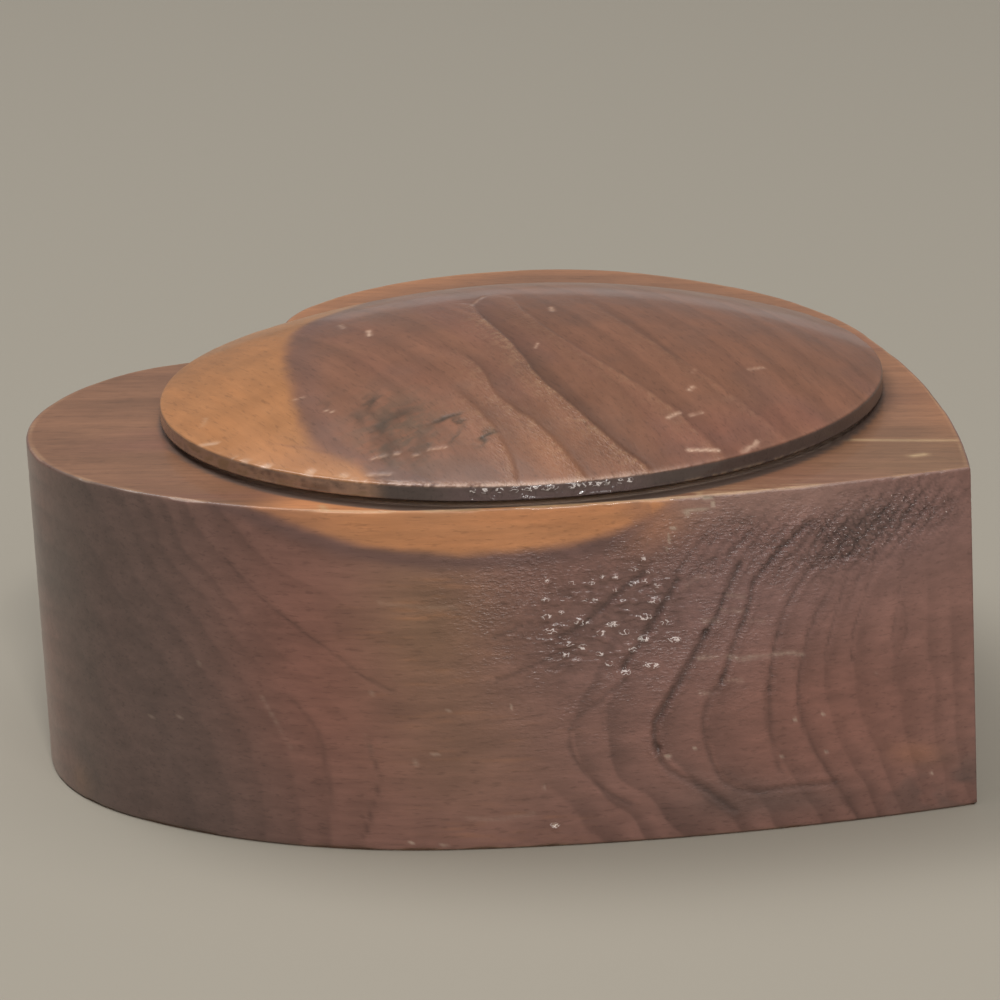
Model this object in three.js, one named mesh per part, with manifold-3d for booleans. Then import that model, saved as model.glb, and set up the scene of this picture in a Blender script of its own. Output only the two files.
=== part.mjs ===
// Wooden heart trinket box: a heart-shaped block with a round turned cavity,
// closed by a round, shallow-domed lid that lifts off.
// Millimetres, +Z up. The origin is under the middle of the block, on its
// underside. The point of the heart looks along -Y and its notch along +Y.

import * as THREE from 'three';
import { mergeVertices } from 'three/addons/utils/BufferGeometryUtils.js';
import Module from 'manifold-3d';

// Heart block
const BLOCK_HEIGHT = 48;
const HEART_LENGTH = 134.3; // from the crest of the lobes to the point
const LOBE_SPACING = 50; // between the crests of the two lobes
const LOBE_RADIUS = 38.5;
const LOBE_SWEEP = 85.4; // degrees
const SHOULDER_RADIUS = 73.5;
const SHOULDER_SWEEP = 40.2; // degrees
const NOTCH_SIDE_RADIUS = 24;
const NOTCH_SIDE_SWEEP = 35; // degrees
const ARRIS_WEAR = 0.5; // rounding worn on the upper and lower edges

// Cavity turned into the block, a little off the heart's middle
const CAVITY_SIDE_OFFSET = -3.4; // across the heart
const CAVITY_LENGTH_OFFSET = 5.65; // along the heart, toward the notch
const THINNEST_WALL = 11.4; // between the cavity and the nearest side or notch
const CAVITY_FLOOR = 8;
const CAVITY_FLOOR_ROUND = 3;
const CAVITY_MOUTH_CHAMFER = 0.8;

// Lid
const LID_LEDGE = 13; // how far the rim reaches past the wall of the cavity
const LID_UNDERCUT_HEIGHT = 1; // shadow line under the rim
const LID_UNDERCUT_DEPTH = 4.5;
const LID_RIM_FACE = 2.2; // upright face of the rim, above the undercut
const LID_RIM_ROUND = 0.4;
const LID_DOME_RISE = 9.2;
const SPIGOT_HEIGHT = 4;
const SPIGOT_CHAMFER = 0.8;
const SPIGOT_CLEARANCE = 0.5; // all round, in the mouth of the cavity

// Fineness of the facets
const HEART_ARC_STEPS = 8;
const TURNED_SIDES = 96;
const DOME_RINGS = 12;
const ROUND_STEPS = 3;

const wasm = await Module();
wasm.setup();

const radians = THREE.MathUtils.degToRad;

// One half of the heart, from the notch over the lobe to the point. Each arc
// runs on smoothly from the one before it, and a free curve ends at the point.
function heartHalf() {
  const lobeX = LOBE_SPACING / 2;
  const crestY = HEART_LENGTH / 2;
  const straightUp = Math.PI / 2;
  const notchStart = straightUp + radians(NOTCH_SIDE_SWEEP);
  const lobeEnd = straightUp - radians(LOBE_SWEEP);
  const shoulderEnd = lobeEnd - radians(SHOULDER_SWEEP);

  const notchCentre = new THREE.Vector2(lobeX, crestY - NOTCH_SIDE_RADIUS);
  const lobeCentre = new THREE.Vector2(lobeX, crestY - LOBE_RADIUS);
  const lobeEndWay = new THREE.Vector2(Math.cos(lobeEnd), Math.sin(lobeEnd));
  const shoulderCentre = lobeCentre.clone().addScaledVector(lobeEndWay, LOBE_RADIUS - SHOULDER_RADIUS);
  const shoulderEndWay = new THREE.Vector2(Math.cos(shoulderEnd), Math.sin(shoulderEnd));
  const shoulderEndPoint = shoulderCentre.clone().addScaledVector(shoulderEndWay, SHOULDER_RADIUS);
  const point = new THREE.Vector2(0, -HEART_LENGTH / 2);

  const notchArcX = notchCentre.x + NOTCH_SIDE_RADIUS * Math.cos(notchStart);
  const notchArcY = notchCentre.y + NOTCH_SIDE_RADIUS * Math.sin(notchStart);
  const notchY = notchArcY - notchArcX * Math.tan(radians(NOTCH_SIDE_SWEEP));

  const sideStart = new THREE.Vector2(shoulderEndWay.y, -shoulderEndWay.x);
  const halfChord = shoulderEndPoint.distanceTo(point) / 2;
  const bend = shoulderEndPoint.clone().addScaledVector(sideStart, halfChord);

  const half = new THREE.Path();
  half.moveTo(0, notchY);
  half.lineTo(notchArcX, notchArcY);
  half.absarc(notchCentre.x, notchCentre.y, NOTCH_SIDE_RADIUS, notchStart, straightUp, true);
  half.absarc(lobeCentre.x, lobeCentre.y, LOBE_RADIUS, straightUp, lobeEnd, true);
  half.absarc(shoulderCentre.x, shoulderCentre.y, SHOULDER_RADIUS, lobeEnd, shoulderEnd, true);
  half.quadraticCurveTo(bend.x, bend.y, point.x, point.y);
  return half.getPoints(HEART_ARC_STEPS);
}

function heartOutline() {
  const right = heartHalf();
  const left = right.slice(1, -1).reverse().map((p) => new THREE.Vector2(-p.x, p.y));
  return [...right, ...left];
}

// How far a place inside the outline is from its nearest side.
function distanceToOutline(place, outline) {
  const spot = new THREE.Vector3(place.x, place.y, 0);
  const nearest = new THREE.Vector3();
  const distances = outline.map((start, i) => {
    const end = outline[(i + 1) % outline.length];
    const side = new THREE.Line3(new THREE.Vector3(start.x, start.y, 0), new THREE.Vector3(end.x, end.y, 0));
    return side.closestPointToPoint(spot, true, nearest).distanceTo(spot);
  });
  return Math.min(...distances);
}

const outline = heartOutline();
const cavityCentre = new THREE.Vector2(CAVITY_SIDE_OFFSET, CAVITY_LENGTH_OFFSET);
const cavityRadius = distanceToOutline(cavityCentre, outline) - THINNEST_WALL;

// The block, standing on z = 0, with its upper and lower edges slightly worn.
function heartBlock() {
  const block = new THREE.ExtrudeGeometry(new THREE.Shape(outline), {
    depth: BLOCK_HEIGHT - 2 * ARRIS_WEAR,
    bevelThickness: ARRIS_WEAR,
    bevelSize: ARRIS_WEAR,
    bevelOffset: -ARRIS_WEAR,
    bevelSegments: ROUND_STEPS,
    steps: 1,
  });
  block.translate(0, 0, ARRIS_WEAR);
  return block;
}

// Points of a quarter circle about a centre, from one angle to another.
function roundedCorner(centreRadius, centreZ, radius, fromDegrees, toDegrees) {
  const points = [];
  for (let i = 0; i <= ROUND_STEPS; i += 1) {
    const angle = radians(fromDegrees + ((toDegrees - fromDegrees) * i) / ROUND_STEPS);
    points.push([centreRadius + radius * Math.cos(angle), centreZ + radius * Math.sin(angle)]);
  }
  return points;
}

// A turned solid: a profile of [radius, height] pairs from the axis out and
// back to the axis, turned about the Z axis.
function turned(profile) {
  const points = profile.map(([radius, height]) => new THREE.Vector2(radius, height));
  const solid = new THREE.LatheGeometry(points, TURNED_SIDES);
  solid.rotateX(Math.PI / 2);
  return solid;
}

// What the lathe takes out of the block, from its floor up through the mouth.
function cavityCutter() {
  const mouth = cavityRadius + CAVITY_MOUTH_CHAMFER;
  const above = BLOCK_HEIGHT + CAVITY_MOUTH_CHAMFER;
  const roundRadius = cavityRadius - CAVITY_FLOOR_ROUND;
  const roundHeight = CAVITY_FLOOR + CAVITY_FLOOR_ROUND;
  const cutter = turned([
    [0, CAVITY_FLOOR],
    ...roundedCorner(roundRadius, roundHeight, CAVITY_FLOOR_ROUND, -90, 0),
    [cavityRadius, BLOCK_HEIGHT - CAVITY_MOUTH_CHAMFER],
    [mouth, BLOCK_HEIGHT],
    [mouth, above],
    [0, above],
  ]);
  cutter.translate(cavityCentre.x, cavityCentre.y, 0);
  return cutter;
}

// The dome: a shallow cap of a sphere over the rim's upper edge.
function domeProfile(edgeRadius, edgeHeight) {
  const sphereRadius = (edgeRadius ** 2 + LID_DOME_RISE ** 2) / (2 * LID_DOME_RISE);
  const sphereCentre = edgeHeight + LID_DOME_RISE - sphereRadius;
  const edgeAngle = Math.asin(edgeRadius / sphereRadius);
  const points = [];
  for (let ring = 0; ring <= DOME_RINGS; ring += 1) {
    const angle = edgeAngle * (1 - ring / DOME_RINGS);
    points.push([sphereRadius * Math.sin(angle), sphereCentre + sphereRadius * Math.cos(angle)]);
  }
  return points;
}

// The lid, with its seat on z = 0 and its spigot below it.
function turnedLid() {
  const rimRadius = cavityRadius + LID_LEDGE;
  const edgeRadius = rimRadius - LID_RIM_ROUND;
  const edgeHeight = LID_UNDERCUT_HEIGHT + LID_RIM_FACE;
  const spigotRadius = cavityRadius - SPIGOT_CLEARANCE;
  return turned([
    [0, -SPIGOT_HEIGHT],
    [spigotRadius - SPIGOT_CHAMFER, -SPIGOT_HEIGHT],
    [spigotRadius, -SPIGOT_HEIGHT + SPIGOT_CHAMFER],
    [spigotRadius, 0],
    [rimRadius - LID_UNDERCUT_DEPTH, 0],
    [rimRadius, LID_UNDERCUT_HEIGHT],
    ...roundedCorner(edgeRadius, edgeHeight - LID_RIM_ROUND, LID_RIM_ROUND, 0, 90),
    ...domeProfile(edgeRadius, edgeHeight).slice(1),
  ]);
}

// A closed geometry with shared vertices, ready to be cut.
function asManifold(geometry) {
  const bare = geometry.clone();
  bare.deleteAttribute('normal');
  bare.deleteAttribute('uv');
  const merged = mergeVertices(bare, 1e-4);
  return new wasm.Manifold(
    new wasm.Mesh({
      numProp: 3,
      vertProperties: new Float32Array(merged.attributes.position.array),
      triVerts: new Uint32Array(merged.index.array),
    }),
  );
}

function asGeometry(manifold) {
  const mesh = manifold.getMesh();
  const geometry = new THREE.BufferGeometry();
  geometry.setAttribute('position', new THREE.BufferAttribute(mesh.vertProperties, mesh.numProp));
  geometry.setIndex(new THREE.BufferAttribute(mesh.triVerts, 1));
  geometry.computeVertexNormals();
  return geometry;
}

function heartBody() {
  const body = asManifold(heartBlock()).subtract(asManifold(cavityCutter()));
  const material = new THREE.MeshStandardMaterial({ color: 0x75503f, roughness: 0.38, metalness: 0 });
  const mesh = new THREE.Mesh(asGeometry(body), material);
  mesh.name = 'heart_body';
  return mesh;
}

function domedLid() {
  const material = new THREE.MeshStandardMaterial({ color: 0x7d5440, roughness: 0.32, metalness: 0 });
  const mesh = new THREE.Mesh(asGeometry(asManifold(turnedLid())), material);
  mesh.name = 'domed_lid';
  mesh.position.set(cavityCentre.x, cavityCentre.y, BLOCK_HEIGHT);
  return mesh;
}

const group = new THREE.Group();
group.add(heartBody(), domedLid());

export default group;
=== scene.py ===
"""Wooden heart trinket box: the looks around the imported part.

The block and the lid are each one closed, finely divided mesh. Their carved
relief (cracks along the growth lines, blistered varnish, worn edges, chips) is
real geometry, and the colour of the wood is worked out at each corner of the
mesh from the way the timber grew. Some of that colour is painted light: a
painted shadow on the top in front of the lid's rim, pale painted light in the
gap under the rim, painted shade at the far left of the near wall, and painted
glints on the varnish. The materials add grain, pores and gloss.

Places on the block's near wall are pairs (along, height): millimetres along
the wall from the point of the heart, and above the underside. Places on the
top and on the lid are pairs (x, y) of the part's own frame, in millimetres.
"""

import math

import bpy
import numpy as np
from mathutils import Matrix, Vector


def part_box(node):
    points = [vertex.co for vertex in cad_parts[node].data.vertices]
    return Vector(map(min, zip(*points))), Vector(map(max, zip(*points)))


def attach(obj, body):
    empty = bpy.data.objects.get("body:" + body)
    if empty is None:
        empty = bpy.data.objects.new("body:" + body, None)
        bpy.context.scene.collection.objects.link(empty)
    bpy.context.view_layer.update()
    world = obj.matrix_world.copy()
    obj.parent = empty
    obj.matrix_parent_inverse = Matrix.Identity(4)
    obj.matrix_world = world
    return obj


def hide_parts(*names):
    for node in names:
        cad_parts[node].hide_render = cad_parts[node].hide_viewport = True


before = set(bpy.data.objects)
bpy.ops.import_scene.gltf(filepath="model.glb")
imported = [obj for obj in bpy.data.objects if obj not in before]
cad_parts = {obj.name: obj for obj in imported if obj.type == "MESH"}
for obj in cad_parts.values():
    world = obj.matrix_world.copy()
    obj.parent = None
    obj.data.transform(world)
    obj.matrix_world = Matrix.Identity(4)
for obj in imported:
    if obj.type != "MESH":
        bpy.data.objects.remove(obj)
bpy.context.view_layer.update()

MM = 0.001  # metres in a millimetre
BODY = "heart_body"
LID = "domed_lid"

# The photograph's view
CAMERA_PLACE = (-0.50339, -0.39019, 0.22984)
CAMERA_FORWARD = (0.7458, 0.5976, -0.29437)
CAMERA_UP = (0.26076, 0.14475, 0.95449)
LENS_MM = 168.85
SENSOR_MM = 36.0

# Fineness of the block's mesh, in millimetres between corners
NEAR_DETAIL = ((68.0, 0.28), (110.0, 0.60), (142.0, 0.85), (None, 1.4))
FAR_DETAIL = ((30.0, 0.70), (None, 2.0))
WALL_STEP = 0.38
TOP_ROWS = 38
TOP_ROW_SPREAD = 1.3  # above 1, the rows crowd to the outer edge
ARRIS_ROWS = 4
POINT_TURN = 1.0  # over this length the outward way turns to that of the point
CAVITY_WALL_ROWS = 5
CAVITY_ROUND_ROWS = 4
FLOOR_ROWS = 4

# Sizes that the block and lid share with the construction, in millimetres
ARRIS_WEAR = 0.5
CAVITY_FLOOR = 8.0
CAVITY_FLOOR_ROUND = 3.0
CAVITY_MOUTH_CHAMFER = 0.8
LID_LEDGE = 13.0
LID_UNDERCUT_HEIGHT = 1.0
LID_UNDERCUT_DEPTH = 4.5
LID_RIM_FACE = 2.2
LID_RIM_ROUND = 0.4
SPIGOT_CLEARANCE = 0.5
SPIGOT_CHAMFER = 0.8

# Fineness of the lid's mesh: up to each angle from +X, in degrees, the millimetres between corners
LID_SECTORS = ((150.0, 0.95), (165.0, 0.60), (250.0, 0.36), (290.0, 0.60), (360.0, 0.95))
LID_DOME_RINGS = 130
LID_RIM_ROWS = 8

SKIN = 0.12  # the finished surface starts this far inside the solid, so lips stay inside it
LID_SKIN = SKIN * 0.6
DEEPEST = 1.2  # no relief is cut deeper
LID_DEEPEST = 1.0
SHOWN_END = 150.0  # the near wall is drawn from the photograph up to here
SHOWN_FADE = (146.0, 122.0)  # and fades into plain wood between these

# Colours of the wood, as the eye sees them
HEARTWOOD = (0.515, 0.373, 0.334)
HEART_RED = (0.535, 0.350, 0.300)
HEART_MAUVE = (0.530, 0.405, 0.385)
HEART_DARK = (0.345, 0.285, 0.265)
OLIVE_WOOD = (0.520, 0.400, 0.295)
SAPWOOD = (0.790, 0.530, 0.352)
SAP_EDGE = (0.410, 0.305, 0.285)
TOP_WOOD = (0.560, 0.397, 0.295)
LID_WOOD = (0.532, 0.360, 0.272)
LID_SAPWOOD = (0.735, 0.487, 0.290)
WORN_WOOD = (0.760, 0.640, 0.490)
# Pale of chips, also used for painted glints on the near wall
CHIP_AND_GLINT_PALE = (0.720, 0.640, 0.570)
SCRATCH = (0.840, 0.705, 0.610)
KNOT = (0.270, 0.215, 0.170)
KNOT_GREY = (0.380, 0.310, 0.250)
RIM_DARK = (0.300, 0.256, 0.240)
RIM_MAUVE = (0.365, 0.297, 0.287)
RIM_BROWN = (0.610, 0.468, 0.382)
# Painted shadow round the lid's rim, and pale painted light in the gap under it
PAINTED_RIM_SHADOW = (0.345, 0.285, 0.255)
PAINTED_GAP_LIGHT = (0.930, 0.860, 0.800)
# Pale of the crumbled rim edge, also used for painted glint flecks along it
CRUMB_AND_GLINT_PALE = (0.780, 0.660, 0.590)
# Painted shade, greyed, for the near wall's far left end, which turns away from the light
PAINTED_SHADE_GREY = (0.290, 0.285, 0.265)
CAVITY_WOOD = (0.590, 0.430, 0.320)
FLOOR_GREY = (0.622, 0.594, 0.543)
# White of the painted glints
GLINT_WHITE = (0.60, 0.57, 0.55)  # in the light that Blender mixes

# Growth lines on the near wall: the line's number and places that it passes
NEAR_GROWTH = (
    (-5, ((3, 44), (3.5, 30), (3.4, 18), (2.6, 6))),
    (-4, ((6, 44), (6.8, 28), (5.8, 18), (4.8, 6))),
    (-3, ((9, 41), (10.6, 31), (12, 21), (10.6, 11), (8, 3))),
    (-2, ((12, 39), (15.2, 32), (17, 24), (16, 14), (12.5, 4))),
    (-1, ((14.5, 38), (19, 30), (21.4, 21), (19.4, 11), (14.5, 1))),
    (0, ((17, 37), (22.6, 28.6), (24.8, 17.5), (21.5, 8.5), (17.2, 0.6))),
    (1, ((20, 38), (24, 34.7), (28, 25), (28.4, 12), (23, 2))),
    (2, ((22, 43), (30, 35.6), (33.4, 26.5), (37.7, 17), (35.5, 8), (29, 1))),
    (3, ((26, 46), (34, 34.4), (37.7, 28), (43, 19), (44, 13), (39.5, 8), (34, 2))),
    (4, ((32, 46), (40.5, 37), (46, 28), (50.5, 20), (49.5, 9), (43, 2))),
    (5, ((41, 43), (48, 32), (52, 24), (55.2, 17.5), (52.7, 9), (48, 4))),
    (6, ((48, 39), (56, 28), (65, 24), (74, 22.5), (82.5, 24.7), (91, 31), (102, 41))),
    (7, ((53, 41), (60, 35), (70, 32), (80, 33), (90, 38), (99, 45))),
    (8, ((44, 46), (53, 42.6), (59, 41.9), (70, 41.7), (84, 43.5), (96.5, 46.7))),
    (5, ((84, 2), (81.4, 10.7), (82.8, 16.4), (89, 23), (98, 31), (108, 41))),
    (4, ((89, 1), (88.6, 11), (93, 21), (102, 31), (112, 42))),
    (3, ((93, 1), (93.5, 12), (99, 22), (108, 33), (117, 45))),
    (2, ((98, 1), (99, 12), (106, 24), (118, 38))),
    (1, ((103, 1), (105, 13), (113, 25), (126, 40))),
    (0, ((109, 1), (112, 13), (121, 25), (135, 40))),
)

# Lower edge of the pale sapwood under the near top edge
SAPWOOD_EDGE = (
    (39, 48.5), (41, 47.2), (44, 45.6), (48, 43.9), (53, 42.5), (59, 41.9), (70, 41.7), (78, 42.6),
    (84, 43.6), (90, 45.4), (95, 47), (100, 48.6),
)

# Cracks on the near wall: depth, half width, darkness and places
NEAR_CRACKS = (
    (0.36, 0.34, 0.75, ((22, 43), (27, 39), (30, 35.6), (31.6, 31), (33.4, 26.5), (35, 22))),
    (0.14, 0.45, 0.4, ((35, 22), (37.7, 17), (37, 11.7), (35.5, 8), (32, 6), (26.6, 6), (20, 6))),
    (0.24, 0.28, 0.55, ((17, 37.6), (21.5, 37), (24, 34.7), (26, 31.5), (28, 25), (28.6, 20))),
    (0.08, 0.45, 0.3, ((28.6, 20), (28.4, 12), (27.6, 8.5))),
    (0.3, 0.36, 0.75, ((32, 38), (34, 34.4), (35.5, 31), (37, 29))),
    (0.34, 0.5, 0.7, ((37, 29), (38.5, 26), (41, 22), (43, 19), (44.3, 16.4), (44, 13))),
    (0.14, 0.55, 0.45, ((44, 13), (42.7, 10), (39.5, 8), (34, 3.5))),
    (0.12, 0.26, 0.4, ((19.4, 34.4), (22.6, 28.6), (24.4, 23), (24.8, 17.5))),
    (0.06, 0.45, 0.3, ((24.8, 17.5), (23.3, 12), (21.5, 8.5), (17.2, 0.6))),
    (0.26, 0.5, 0.65, ((40.5, 36.5), (43, 32.5), (46, 28), (48.2, 24.6))),
    (0.2, 0.45, 0.55, ((45, 37.8), (49.5, 34.3), (53, 31.4), (56.5, 29.5))),
    (0.06, 0.35, 0.35, ((48, 23), (52, 20), (55.2, 17.5), (55.7, 14.6), (52.7, 9), (48, 5.6))),
    (0.06, 0.3, 0.4, ((56, 27.4), (59.5, 26), (65, 24))),
    (0.1, 0.28, 0.45, ((60, 32), (65, 30))),
    (0.07, 0.3, 0.4, ((102, 41), (97.5, 36), (91, 31), (86, 27.4), (82.5, 24.7), (79, 23))),
    (0.08, 0.3, 0.45, ((82.8, 16.4), (82, 13), (81.4, 10.7), (82.5, 6.7), (84, 2))),
    (0.04, 0.4, 0.3, ((93, 21), (89.6, 16.4), (88.6, 11), (88.2, 5.6))),
    (0.12, 0.2, 0.3, ((10, 45), (13, 41.5), (16, 38.5), (19, 37.2))),
    (0.12, 0.2, 0.3, ((2.5, 44), (5, 41), (8, 37.5))),
    (0.12, 0.2, 0.3, ((14.5, 38), (16.5, 33.5), (18, 30.5))),
    (0.1, 0.2, 0.25, ((10, 30), (9.6, 26.5), (11, 22.5))),
    (0.1, 0.22, 0.4, ((17.6, 34.5), (19.6, 29), (21, 23.5))),
    (0.09, 0.2, 0.35, ((13.6, 37.5), (15.2, 32), (16.8, 27.5), (17.3, 23))),
    (0.08, 0.2, 0.3, ((9.8, 36), (10.6, 31), (11.7, 25.5))),
    (0.1, 0.22, 0.35, ((31, 42), (34, 39.5), (36.5, 38.6), (39, 36.5))),
    (0.1, 0.25, 0.4, ((36.5, 42), (40, 38.5), (42.8, 34.5))),
)

# Pale checks and scratches on the near wall, partly painted glints along fine steps: half width, strength and
# places
NEAR_PALE = (
    (0.3, 0.75, ((24, 24.6), (27.8, 25), (31.9, 24.8), (35.2, 25.3), (38, 25.3))),
    (0.28, 0.6, ((35.3, 30.4), (37.1, 30.4))),
    (0.28, 0.6, ((31.8, 33.5), (33.8, 33.8))),
    (0.28, 0.6, ((31.6, 31.4), (34.6, 31.7))),
    (0.28, 0.5, ((29.3, 29.7), (31.3, 29.9))),
    (0.28, 0.6, ((32.4, 21.7), (34.7, 22))),
    (0.28, 0.6, ((35.5, 20.1), (38, 20.4))),
    (0.22, 0.4, ((36.3, 36.6), (38.2, 36.3), (39.6, 35.2))),
    (0.22, 0.35, ((97.5, 21), (95.5, 17.5), (93.6, 14))),
    (0.3, 0.3, ((70, 34.2), (75, 34.7), (80, 35.2))),
    (0.2, 0.3, ((82.8, 16.4), (82, 13))),
    (0.3, 0.3, ((61, 5), (66, 4.4), (70, 4.6))),
)

# Beads of varnish, raised in the mesh and each with a painted glint: along, height and half length
BEADS = (
    (57.7, 37.5, 0.4), (54.4, 37, 0.6), (51.8, 36.8, 0.5), (50.3, 37.6, 0.5), (48.7, 37.4, 0.5),
    (46.2, 38.4, 0.8), (44.8, 39.7, 0.7), (44.1, 37.9, 0.6), (46.5, 36.3, 0.6), (44.6, 36.6, 0.8),
    (43.1, 35.9, 0.6), (48.7, 35.6, 0.4), (58, 34.9, 0.7), (52.9, 34.5, 0.6), (51.4, 34.4, 0.5),
    (56, 33, 0.4), (43.6, 33.7, 1.2), (58, 32.5, 0.6), (53.3, 31.4, 1), (49.4, 30.9, 1), (44.9, 31.6, 0.9),
    (42.4, 30.7, 0.5), (50.9, 29.8, 0.5), (47.8, 29.7, 0.6), (45.3, 28.6, 0.7), (41.2, 28.2, 1),
    (57.6, 30.5, 1), (55.2, 28.4, 0.6), (53.4, 28, 0.5), (46.8, 27.2, 0.4), (55.7, 27.1, 0.4),
    (51.2, 26.9, 0.4), (50, 25.5, 0.4), (44.4, 24.8, 1.2), (47.8, 24.1, 0.6), (58.2, 3.1, 0.5),
)

# Beads of varnish on the lid's rim, each with a painted glint: angle from +X in degrees and half length in
# millimetres
RIM_BEADS = (
    (210.5, 0.3), (212.3, 0.5), (214.5, 0.4), (217, 0.9), (219.5, 1), (222, 1.1), (225.6, 0.8),
    (227.8, 0.9), (229.3, 0.3), (230.4, 0.4), (232.5, 0.3), (234, 0.3),
)

# Small pale specks and chips on the near wall, some of them painted glints: along, height, half length, half
# height and strength
SPECKS = (
    (36.1, 47.5, 0.9, 0.4, 0.9), (35.4, 46.6, 0.3, 0.7, 0.8), (37.6, 45.9, 2.2, 0.3, 0.7),
    (38.9, 45.5, 0.6, 0.4, 0.7), (40.8, 43.6, 0.6, 0.3, 0.8), (41.4, 42.3, 0.3, 0.9, 0.6),
    (41.7, 40.9, 0.25, 0.5, 0.5), (21.5, 15.9, 0.35, 0.3, 0.7), (25.3, 15.5, 0.35, 0.35, 0.7),
    (21.2, 10.3, 0.4, 0.25, 0.6), (27.3, 10.3, 0.35, 0.25, 0.6), (6.5, 5.6, 0.3, 0.3, 0.9),
    (39, 12.8, 0.35, 0.3, 0.7), (42.7, 11.9, 0.6, 0.4, 0.8), (63.3, 20.2, 0.2, 0.5, 0.6),
    (71.5, 20, 0.3, 0.3, 0.5), (73.7, 13.9, 0.5, 0.35, 0.5), (58.2, 3.1, 0.5, 0.2, 0.8),
    (77.8, 1.2, 0.4, 0.2, 0.8), (73.2, 1, 0.6, 0.2, 0.6), (13.9, 20.6, 0.3, 0.2, 0.5),
    (76.4, 12.7, 0.2, 0.5, 0.4), (59.4, 8.6, 0.25, 0.5, 0.4), (110.9, 16.6, 0.25, 0.25, 0.4),
    (116, 15.8, 0.25, 0.25, 0.4), (106.9, 24.8, 0.3, 0.3, 0.35), (81.8, 22.5, 0.3, 0.3, 0.3),
)

# Edge of the pale sapwood on the lid
LID_SAPWOOD_EDGE = (
    (-54, -13), (-51.5, -7), (-49.6, -1), (-48.8, 4.2), (-46.8, 7.9), (-43.3, 11.9), (-39.6, 16.2),
    (-35.1, 20.4), (-29.8, 25.7), (-23.8, 30.9), (-17.3, 35.9), (-11.8, 38.9), (-5.8, 40.6), (2.7, 40.6),
    (10, 45), (20, 56),
)

# Ridges left by the lid's growth lines: height and places
LID_RIDGES = (
    (0.16, ((-45, -26), (-38.5, -19), (-34, -12), (-30, -4))),
    (0.22, ((-38.5, -33), (-32, -20), (-28.5, -10), (-23, -3), (-19.5, 4))),
    (0.34, ((-31, -38.5), (-25, -20), (-20, -10), (-14, -2), (-7.5, 8), (0, 16.5))),
    (0.14, ((-21, -42.5), (-15, -26), (-10.5, -11), (-4, 2), (6, 14))),
    (0.1, ((-10, -45), (-5, -28), (1, -12), (9, 2))),
)

# Dark knots of the lid: place, half length, half height, turn in degrees and strength
LID_KNOTS = (
    (-36.5, 5, 2.4, 0.8, 30, 0.7), (-38.2, -1, 2.6, 1.1, 10, 0.6), (-36.8, -7.4, 2.3, 0.55, -28, 1),
    (-38, -15.2, 1.9, 0.55, 20, 1), (-36.2, -9.8, 1.4, 0.4, 60, 0.7), (-46.5, -5.5, 4, 1.2, 40, 0.5),
    (-41.5, -0.5, 3.4, 0.9, 25, 0.6), (-43.5, -8.5, 3.6, 1.4, 35, 0.5), (-39, 11, 2, 0.6, 40, 0.3),
    (-39.6, -11.6, 1.6, 0.45, 15, 0.6), (-41, 4, 2.4, 0.8, 50, 0.4),
)

# Scratches of the lid: half width, strength and places
LID_SCRATCHES = (
    (0.35, 0.95, ((-17.2, 21.4), (-15, 23.4))), (0.35, 0.55, ((-13.5, 29.3), (-11.5, 31.5))),
    (0.35, 0.75, ((1.6, 3.3), (3.2, 4.8))), (0.25, 0.75, ((-13.2, -5), (-11.8, -4.3))),
    (0.34, 1.00, ((-23.2, -37.8), (-20.2, -40.4))), (0.34, 0.8, ((-18.8, -31.4), (-16.6, -31.6))),
    (0.3, 0.6, ((-16, -33), (-14.2, -33.6))), (0.34, 0.5, ((2.5, -29.8), (5, -30.3))),
    (0.36, 0.8, ((-10.2, -28.8), (-9.2, -28.6))), (0.3, 0.5, ((-51.5, -6), (-50.3, -8.6))),
    (0.36, 1.00, ((-17.5, -42.8), (-16.2, -42.6))), (0.34, 0.9, ((-15.2, -42.9), (-14, -42.5))),
    (0.25, 0.45, ((-0.5, 16.2), (5.5, 18.8))), (0.2, 0.4, ((-5.5, -26), (-4.2, -25.4))),
    (0.4, 0.75, ((-50, 22), (-50.6, 24.2))), (0.3, 0.35, ((-46, 28), (-44, 29))),
    (0.3, 0.6, ((-38.6, 17.2), (-37.9, 16.5))), (0.3, 0.7, ((-40.5, 10.1), (-40.6, 9))),
    (0.25, 0.6, ((-48.5, -4.3), (-47.2, -5.5))), (0.25, 0.6, ((-43.7, -10.2), (-42.4, -11.9))),
    (0.3, 0.6, ((-46.4, -6.6), (-46.2, -6.9))), (0.3, 0.5, ((-45.6, -9.2), (-45.3, -9.5))),
    (0.45, 0.8, ((-54, 9.9), (-53.9, 9.4))), (0.4, 0.6, ((-53.4, 2.6), (-53.4, 2))),
    (0.4, 0.6, ((-52.8, -2.6), (-52.8, -3.2))),
)

# Pale marks on the block's top: half width, strength and places
TOP_MARKS = (
    (0.55, 0.75, ((2, -44), (5.5, -51), (9.5, -58.5))), (0.7, 0.9, ((0.8, -57.5), (1.9, -58.3))),
    (0.45, 0.6, ((-28.6, -43.6), (-27, -42))), (0.5, 0.6, ((-57.5, -3.5), (-56, -1.5))),
)

# The way the timber lay: direction of the fibres in degrees from +X, and the heart of the tree
BLOCK_FIBRE = -60
LID_FIBRE = 63
PITH_ACROSS = -34
PITH_HEIGHT = -22
RING_WIDTH = 5.5

LATTICE = 64
FAR_AWAY = 99.0


def ramp(low, high, value):
    t = np.clip((value - low) / (high - low), 0, 1)
    return t * t * (3 - 2 * t)


def between(low, full, fading, high, value):
    """1 from full to fading, and 0 outside low and high."""
    return ramp(low, full, value) * ramp(high, fading, value)


def hump(distance, width):
    return np.exp(-((distance / width) ** 2))


def mix(first, second, share):
    share = np.asarray(share, float)[..., None]
    return np.asarray(first, float) * (1 - share) + np.asarray(second, float) * share


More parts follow.
